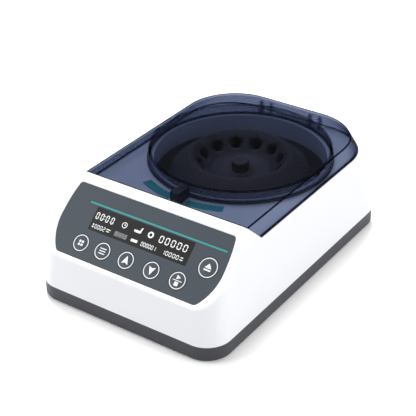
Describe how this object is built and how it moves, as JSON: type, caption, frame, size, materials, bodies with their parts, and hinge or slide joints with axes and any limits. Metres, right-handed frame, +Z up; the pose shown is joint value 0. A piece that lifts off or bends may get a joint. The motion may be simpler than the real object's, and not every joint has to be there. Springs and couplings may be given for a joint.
{
  "type": "mini centrifuge",
  "caption": "Bench-top mini centrifuge: white housing on a dark base, sloping control panel with display and keys, hinged smoked lid over a slant-hole rotor.",
  "frame": {"origin": "on the table under the middle of the housing's footprint", "axes": "+X across to the right as seen from the front, +Y to the rear, +Z up"},
  "size_m": [0.19, 0.281, 0.0973],
  "materials": {
    "housing_plastic": "satin",
    "base_plastic": "satin",
    "black_plastic": "satin",
    "panel_plastic": "satin",
    "display_plastic": "gloss",
    "smoked_plastic": "gloss",
    "collar_plastic": "satin",
    "rubber": "matte",
    "steel": "satin",
    "dark_aluminium": "anodised",
    "bare_aluminium": "satin",
    "copper": "bare",
    "magnet_iron": "bare",
    "board_laminate": "satin",
    "clear_glass": "gloss"
  },
  "bodies": {
    "housing": {"base_tray": "base_plastic", "rubber_feet": "rubber", "base_screws": "steel", "upper_housing": "housing_plastic", "control_panel": "panel_plastic", "display_window": "display_plastic", "display_module": "black_plastic", "control_board": "board_laminate", "control_board_screws": "steel", "key_switches": "black_plastic", "hinge_pins": "steel", "hinge_brackets": "steel", "hinge_springs": "steel", "latch_frame": "black_plastic", "latch_solenoid": "steel", "chamber_collar": "collar_plastic", "lid_gasket": "rubber", "rotor_bowl": "dark_aluminium", "bowl_hangers": "steel", "spindle_seal": "rubber", "motor_can": "steel", "motor_cap": "bare_aluminium", "motor_bearing_lower": "steel", "motor_bearing_upper": "steel", "motor_windings": "copper", "motor_plate": "steel", "motor_mounts": "rubber", "motor_plate_screws": "steel", "rear_panel": "base_plastic", "mains_inlet": "black_plastic", "switch_frame": "black_plastic", "rocker_pivot": "steel", "power_board": "board_laminate", "transformer": "magnet_iron", "capacitors": "black_plastic"},
    "lid": {"lid": "smoked_plastic", "latch_striker": "black_plastic"},
    "rotor": {"rotor": "dark_aluminium", "spindle": "steel", "motor_core": "magnet_iron"},
    "rotor_nut": {"rotor_nut": "bare_aluminium"},
    "latch_pawl": {"latch_pawl": "steel"},
    "power_rocker": {"power_rocker": "black_plastic"},
    "fuse_drawer": {"fuse_drawer": "black_plastic", "fuse": "clear_glass"},
    "key_program": {"key_program": "panel_plastic"},
    "key_menu": {"key_menu": "panel_plastic"},
    "key_up": {"key_up": "panel_plastic"},
    "key_down": {"key_down": "panel_plastic"},
    "key_start": {"key_start": "panel_plastic"},
    "key_open": {"key_open": "panel_plastic"}
  },
  "joints": [
    {"name": "lid_hinge", "type": "hinge", "parent": "housing", "child": "lid", "pos_m": [0, 0.1295, 0.071], "axis": [-1, 0, 0], "range_deg": [0, 80]},
    {"name": "rotor_spin", "type": "hinge", "parent": "housing", "child": "rotor", "pos_m": [0, 0.041, 0], "axis": [0, 0, 1], "continuous": true},
    {"name": "rotor_nut_turn", "type": "hinge", "parent": "rotor", "child": "rotor_nut", "pos_m": [0, 0.041, 0], "axis": [0, 0, 1], "continuous": true},
    {"name": "key_program_press", "type": "slide", "parent": "housing", "child": "key_program", "axis": [0, 0.6539, -0.7565], "range_m": [0, 0.0006], "stiffness_N_per_m": 2000, "springref_m": -0.0005},
    {"name": "key_menu_press", "type": "slide", "parent": "housing", "child": "key_menu", "axis": [0, 0.6539, -0.7565], "range_m": [0, 0.0006], "stiffness_N_per_m": 2000, "springref_m": -0.0005},
    {"name": "key_up_press", "type": "slide", "parent": "housing", "child": "key_up", "axis": [0, 0.6539, -0.7565], "range_m": [0, 0.0006], "stiffness_N_per_m": 2000, "springref_m": -0.0005},
    {"name": "key_down_press", "type": "slide", "parent": "housing", "child": "key_down", "axis": [0, 0.6539, -0.7565], "range_m": [0, 0.0006], "stiffness_N_per_m": 2000, "springref_m": -0.0005},
    {"name": "key_start_press", "type": "slide", "parent": "housing", "child": "key_start", "axis": [0, 0.6539, -0.7565], "range_m": [0, 0.0006], "stiffness_N_per_m": 2000, "springref_m": -0.0005},
    {"name": "key_open_press", "type": "slide", "parent": "housing", "child": "key_open", "axis": [0, 0.6539, -0.7565], "range_m": [0, 0.0006], "stiffness_N_per_m": 2000, "springref_m": -0.0005},
    {"name": "latch_pawl_slide", "type": "slide", "parent": "housing", "child": "latch_pawl", "axis": [1, 0, 0], "range_m": [0, 0.005], "stiffness_N_per_m": 50, "springref_m": -0.001},
    {"name": "power_rocker_tilt", "type": "hinge", "parent": "housing", "child": "power_rocker", "pos_m": [0.042, 0.1331, 0.036], "axis": [1, 0, 0], "range_deg": [-10, 0]},
    {"name": "fuse_drawer_slide", "type": "slide", "parent": "housing", "child": "fuse_drawer", "axis": [0, 1, 0], "range_m": [0, 0.01]}
  ]
}
